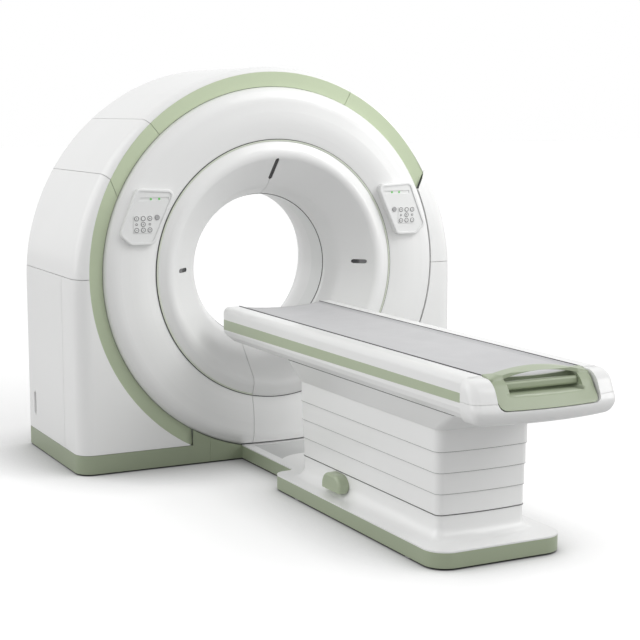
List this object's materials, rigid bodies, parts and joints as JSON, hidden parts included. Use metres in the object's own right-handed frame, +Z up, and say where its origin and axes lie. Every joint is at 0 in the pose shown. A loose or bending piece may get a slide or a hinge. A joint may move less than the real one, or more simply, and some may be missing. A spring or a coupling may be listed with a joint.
{
  "type": "ct scanner",
  "caption": "Ring-shaped medical imaging gantry with a flared bore, docked to a height-adjusting patient table whose cradle slides through the bore.",
  "frame": {"origin": "on the floor, in the middle of the whole footprint of gantry and table", "axes": "+Z up, +Y from the table through the bore to the gantry's rear, +X to the right as seen from the table's foot"},
  "size_m": [1.98, 3.065, 1.857],
  "materials": {
    "shell_white": "smooth gloss paint on moulded shells",
    "sage_green": "satin painted trim",
    "trim_cream": "satin trim ring",
    "pad_grey": "smooth vinyl mat",
    "board_black": "carbon laminate board edge",
    "window_clear": "thin plastic scan window",
    "lens_dark": "dark laser window",
    "panel_white": "control panel housing",
    "key_grey": "moulded keypad",
    "stop_grey": "stop button",
    "light_green": "status light lens",
    "frame_steel": "powder coated frame",
    "foot_steel": "zinc plated levelling foot",
    "bearing_steel": "ground bearing ring",
    "rotor_alloy": "machined casting",
    "tube_housing": "painted tube housing",
    "detector_black": "anodised detector frame",
    "column_steel": "anodised lift tube",
    "pedestal_white": "telescopic pedestal cover",
    "insert_grey": "textured floor insert"
  },
  "bodies": {
    "gantry": {"gantry_base_frame": "frame_steel", "levelling_feet": "foot_steel", "gantry_stand": "frame_steel", "bearing_outer_race": "bearing_steel", "cover_frame": "frame_steel", "gantry_plinth": "sage_green", "side_cover_left": "shell_white", "side_cover_right": "shell_white", "corner_cover_left": "shell_white", "corner_cover_right": "shell_white", "lower_shoulder_left": "shell_white", "lower_shoulder_right": "shell_white", "upper_shoulder_left": "shell_white", "upper_shoulder_right": "shell_white", "top_cover": "shell_white", "rear_cover": "shell_white", "rear_funnel": "shell_white", "scan_window": "window_clear", "front_funnel": "shell_white", "trim_ring": "trim_cream", "front_ring_cover": "shell_white", "dock_panel": "shell_white", "band_left": "sage_green", "band_shoulder": "sage_green", "band_top": "sage_green", "band_right": "sage_green", "laser_windows": "lens_dark", "panel_housing_left": "panel_white", "panel_housing_right": "panel_white", "keypad_left": "key_grey", "keypad_right": "key_grey", "status_lights": "light_green", "table_base_frame": "frame_steel", "table_plinth": "sage_green", "table_base_cover": "shell_white", "dock_insert": "insert_grey", "section_fixed": "pedestal_white", "lift_column_base": "column_steel"},
    "rotor": {"rotor_drum": "rotor_alloy", "bearing_inner_race": "bearing_steel", "xray_tube": "tube_housing", "detector_arc": "detector_black", "hv_generator": "tube_housing", "heat_exchanger": "rotor_alloy"},
    "table_top": {"lift_column_top": "column_steel", "saddle": "pedestal_white", "table_body": "shell_white", "side_stripes": "sage_green", "end_cap": "shell_white"},
    "lift_stage": {"lift_column_middle": "column_steel"},
    "section_upper_body": {"section_upper": "pedestal_white"},
    "section_middle_body": {"section_middle": "pedestal_white"},
    "section_lower_body": {"section_lower": "pedestal_white"},
    "cradle": {"cradle_board": "board_black", "cradle_pad": "pad_grey", "cradle_handle": "sage_green"},
    "lever": {"release_lever": "sage_green"},
    "pedal": {"foot_pedal": "sage_green"},
    "stop_left": {"stop_button_left": "stop_grey"},
    "stop_right": {"stop_button_right": "stop_grey"}
  },
  "joints": [
    {"name": "rotor_spin", "type": "hinge", "parent": "gantry", "child": "rotor", "pos_m": [0, 1.1925, 0.907], "axis": [0, 1, 0], "continuous": true},
    {"name": "table_lift", "type": "slide", "parent": "gantry", "child": "table_top", "axis": [0, 0, 1], "range_m": [-0.28, 0]},
    {"name": "lift_stage_slide", "type": "slide", "parent": "gantry", "child": "lift_stage", "axis": [0, 0, 1], "range_m": [-0.14, 0]},
    {"name": "section_upper_slide", "type": "slide", "parent": "gantry", "child": "section_upper_body", "axis": [0, 0, 1], "range_m": [-0.21, 0]},
    {"name": "section_middle_slide", "type": "slide", "parent": "gantry", "child": "section_middle_body", "axis": [0, 0, 1], "range_m": [-0.14, 0]},
    {"name": "section_lower_slide", "type": "slide", "parent": "gantry", "child": "section_lower_body", "axis": [0, 0, 1], "range_m": [-0.07, 0]},
    {"name": "cradle_slide", "type": "slide", "parent": "table_top", "child": "cradle", "axis": [0, 1, 0], "range_m": [0, 1.6]},
    {"name": "release_lever_turn", "type": "hinge", "parent": "cradle", "child": "lever", "pos_m": [0, -1.4245, 0.71], "axis": [1, 0, 0], "range_deg": [-12, 0], "stiffness_Nm_per_rad": 3, "springref_deg": 14.32},
    {"name": "pedal_press", "type": "slide", "parent": "gantry", "child": "pedal", "axis": [0, 0, -1], "range_m": [0, 0.008], "stiffness_N_per_m": 3000, "springref_m": -0.006},
    {"name": "stop_left_press", "type": "slide", "parent": "gantry", "child": "stop_left", "axis": [0, 1, 0], "range_m": [0, 0.003], "stiffness_N_per_m": 600, "springref_m": -0.003},
    {"name": "stop_right_press", "type": "slide", "parent": "gantry", "child": "stop_right", "axis": [0, 1, 0], "range_m": [0, 0.003], "stiffness_N_per_m": 600, "springref_m": -0.003}
  ],
  "couplings": [
    {"joint": "lift_stage_slide", "follows": "table_lift", "ratio": 0.5},
    {"joint": "section_upper_slide", "follows": "table_lift", "ratio": 0.75},
    {"joint": "section_middle_slide", "follows": "table_lift", "ratio": 0.5},
    {"joint": "section_lower_slide", "follows": "table_lift", "ratio": 0.25}
  ]
}
